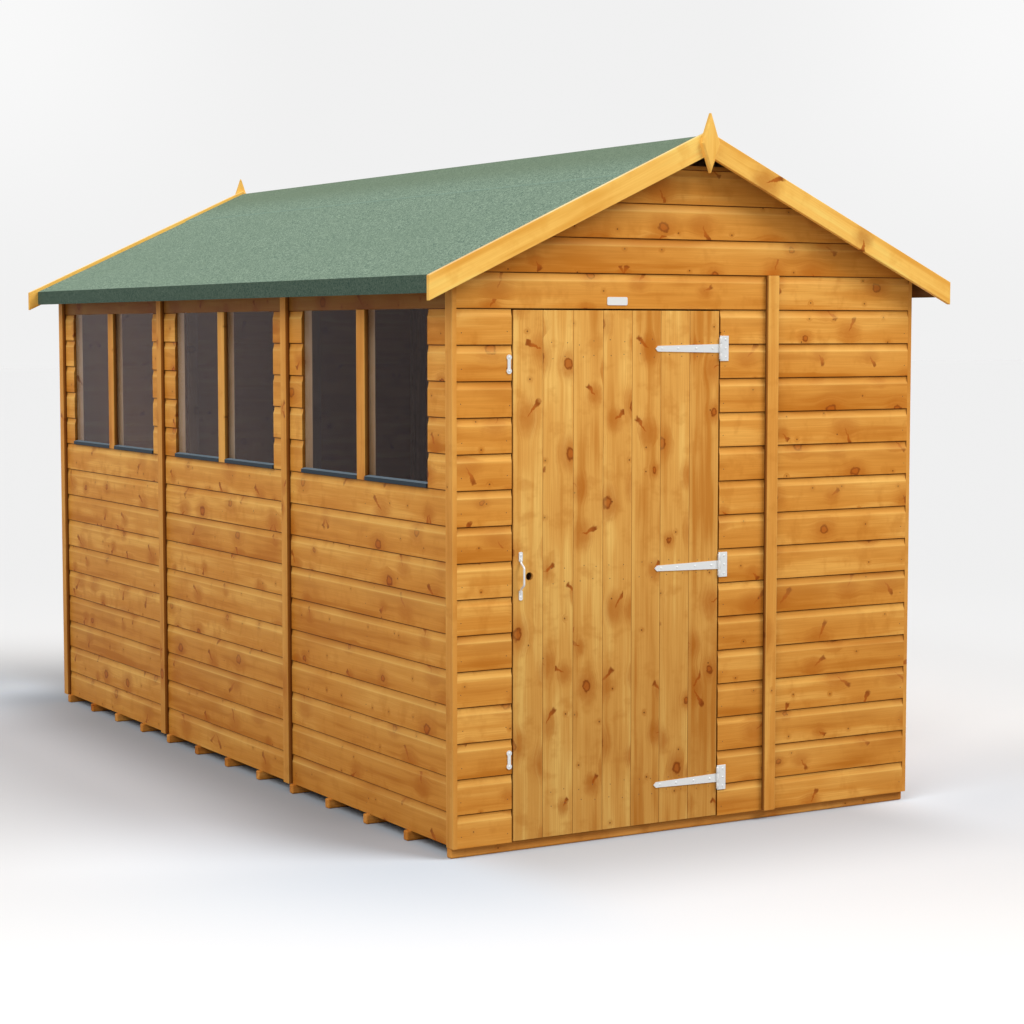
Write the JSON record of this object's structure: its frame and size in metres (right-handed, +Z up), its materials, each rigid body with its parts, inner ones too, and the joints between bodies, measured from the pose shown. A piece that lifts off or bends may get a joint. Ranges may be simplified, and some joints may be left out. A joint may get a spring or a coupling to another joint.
{
  "type": "wooden garden shed",
  "caption": "Wooden garden shed with a green felt apex roof, shiplap walls, windows along one side and a hinged plank door in the gable end.",
  "frame": {"origin": "on the ground under the middle of the shed", "axes": "+Z up, -Y out of the door gable, -X out of the windowed side wall"},
  "size_m": [2.0334, 3.74, 2.33],
  "materials": {
    "cladding": "dipped shiplap boards, satin",
    "trim_timber": "dipped planed softwood, satin",
    "frame_timber": "planed softwood, matt",
    "base_timber": "sawn treated softwood, matt",
    "roof_timber": "planed softwood boards, matt",
    "door_timber": "dipped tongued boards, satin",
    "mineral_felt": "green mineral granules, matt",
    "window_sheet": "clear glazing sheet",
    "sill_strip": "extruded drip strip, satin",
    "galvanised_steel": "bright zinc plated",
    "blank_plate": "plain white plate"
  },
  "bodies": {
    "shed": {"front_wall_left_of_door": "cladding", "front_wall_right_of_door": "cladding", "front_wall_over_door": "cladding", "front_wall_narrow_panel": "cladding", "front_gable": "cladding", "back_wall_wide_panel": "cladding", "back_wall_narrow_panel": "cladding", "back_gable": "cladding", "left_wall_lower": "cladding", "left_wall_piers": "cladding", "left_wall_head": "cladding", "right_wall_panels": "cladding", "corner_strips": "trim_timber", "cover_strips": "trim_timber", "window_mullions": "trim_timber", "bargeboards_left": "trim_timber", "bargeboards_right": "trim_timber", "finials": "trim_timber", "front_wall_posts": "frame_timber", "front_wall_rails": "frame_timber", "back_wall_posts": "frame_timber", "back_wall_rails": "frame_timber", "left_wall_posts": "frame_timber", "left_wall_rails": "frame_timber", "right_wall_posts": "frame_timber", "right_wall_rails": "frame_timber", "rafters": "frame_timber", "roof_ties": "frame_timber", "ridge_beam": "frame_timber", "purlins": "frame_timber", "eaves_rails": "frame_timber", "eaves_fascias": "frame_timber", "floor_joists": "base_timber", "floor_deck": "base_timber", "roof_boards_left": "roof_timber", "roof_boards_right": "roof_timber", "roof_felt_left": "mineral_felt", "roof_felt_right": "mineral_felt", "ridge_felt": "mineral_felt", "window_glass": "window_sheet", "window_sills": "sill_strip", "hinge_plates": "galvanised_steel", "turn_buttons": "galvanised_steel", "name_plate": "blank_plate"},
    "door": {"door_boards": "door_timber", "door_ledges": "frame_timber", "door_braces": "frame_timber", "hinge_straps": "galvanised_steel", "door_pull": "galvanised_steel"}
  },
  "joints": [
    {"name": "door_hinge", "type": "hinge", "parent": "shed", "child": "door", "pos_m": [0.0955, -1.791, 0.8705], "axis": [0, 0, 1], "range_deg": [0, 165]}
  ]
}
